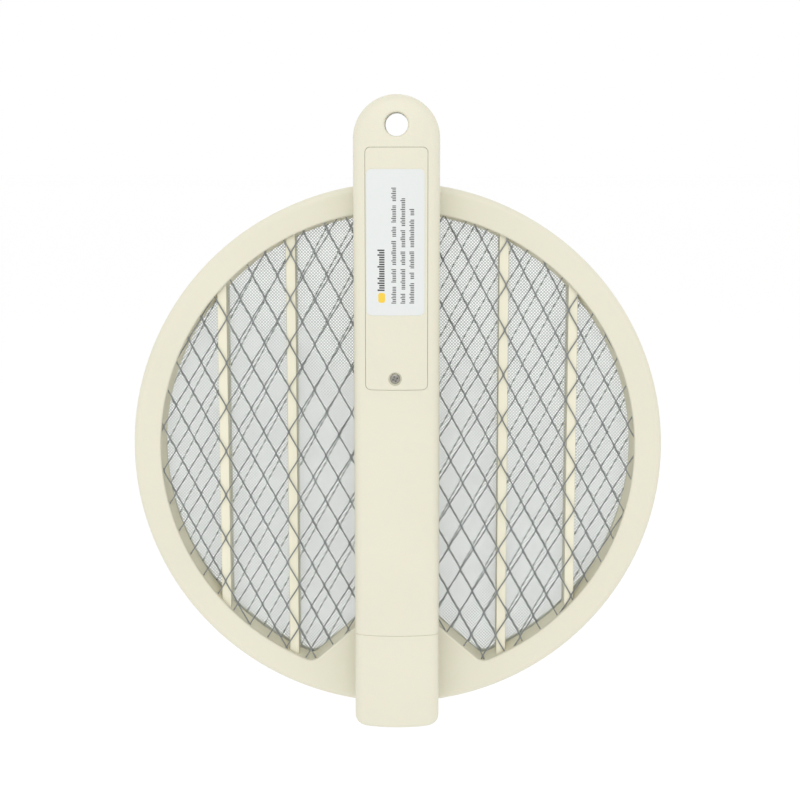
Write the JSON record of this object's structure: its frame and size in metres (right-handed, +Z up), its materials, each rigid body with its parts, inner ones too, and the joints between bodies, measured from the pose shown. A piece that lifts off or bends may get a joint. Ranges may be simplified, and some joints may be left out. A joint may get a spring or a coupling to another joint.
{
  "type": "electric fly swatter",
  "caption": "Folding electric fly swatter, folded: round ringed head of metal grids with upright ribs, and a bar handle with a battery door and hanging hole lying across it.",
  "frame": {"origin": "middle of the hanging hole, at half the handle's depth", "axes": "+Z up towards the handle's free end, along the folded handle; +Y from the battery door towards the head; +X to the right when the battery door is seen"},
  "size_m": [0.22, 0.045, 0.2612],
  "materials": {
    "cream_plastic": "satin",
    "zinc_steel": "satin",
    "nickel_plate": "polished",
    "label_film": "satin",
    "cell_jacket": "satin",
    "red_wire": "satin",
    "white_wire": "satin",
    "board_green": "satin",
    "ferrite": "matte",
    "copper_winding": "satin",
    "film_capacitor": "gloss",
    "capacitor_sleeve": "satin",
    "resistor_body": "satin",
    "black_epoxy": "matte",
    "red_button": "satin",
    "grey_knob": "satin",
    "red_lamp": "gloss",
    "grid_metal": "satin",
    "fine_grid_metal": "satin"
  },
  "bodies": {
    "handle": {"handle_outer_shell": "cream_plastic", "handle_inner_shell": "cream_plastic", "hinge_collar": "cream_plastic", "battery_tray": "cream_plastic", "shell_screws": "zinc_steel", "collar_screws": "zinc_steel", "hinge_pins": "zinc_steel", "hinge_washers": "zinc_steel", "battery_contacts": "nickel_plate", "battery_springs": "nickel_plate", "button_spring": "nickel_plate", "battery_cell_1": "cell_jacket", "battery_cell_2": "cell_jacket", "battery_cell_3": "cell_jacket", "battery_cell_4": "cell_jacket", "battery_leads": "red_wire", "handle_hv_leads": "white_wire", "circuit_board": "board_green", "transformer_core": "ferrite", "transformer_winding": "copper_winding", "high_voltage_capacitor": "film_capacitor", "filter_capacitor": "capacitor_sleeve", "resistors": "resistor_body", "diodes": "black_epoxy", "switching_transistor": "black_epoxy", "push_switch": "black_epoxy", "power_switch_body": "black_epoxy", "indicator_lamp": "red_lamp"},
    "head": {"head_front_frame": "cream_plastic", "head_rear_frame": "cream_plastic", "frame_screws": "zinc_steel", "front_grid": "grid_metal", "centre_grid": "fine_grid_metal", "rear_grid": "grid_metal", "front_spacer": "cream_plastic", "rear_spacer": "cream_plastic", "head_hv_leads": "white_wire"},
    "battery_door": {"battery_door": "cream_plastic", "door_screw": "zinc_steel", "door_label": "label_film"},
    "zap_button": {"zap_button": "red_button"},
    "power_switch": {"power_switch_knob": "grey_knob"}
  },
  "joints": [
    {"name": "head_fold", "type": "hinge", "parent": "handle", "child": "head", "pos_m": [0, 0.0132, -0.2445], "axis": [-1, 0, 0], "range_deg": [0, 180]},
    {"name": "button_press", "type": "slide", "parent": "handle", "child": "zap_button", "axis": [0, -1, 0], "range_m": [0, 0.0012], "stiffness_N_per_m": 900, "springref_m": -0.0006, "deforming": ["button_spring"]},
    {"name": "power_slide", "type": "slide", "parent": "handle", "child": "power_switch", "axis": [0, 0, -1], "range_m": [0, 0.004]},
    {"name": "door_off", "type": "slide", "parent": "handle", "child": "battery_door", "axis": [0, -1, 0], "range_m": [0, 0.03]}
  ]
}
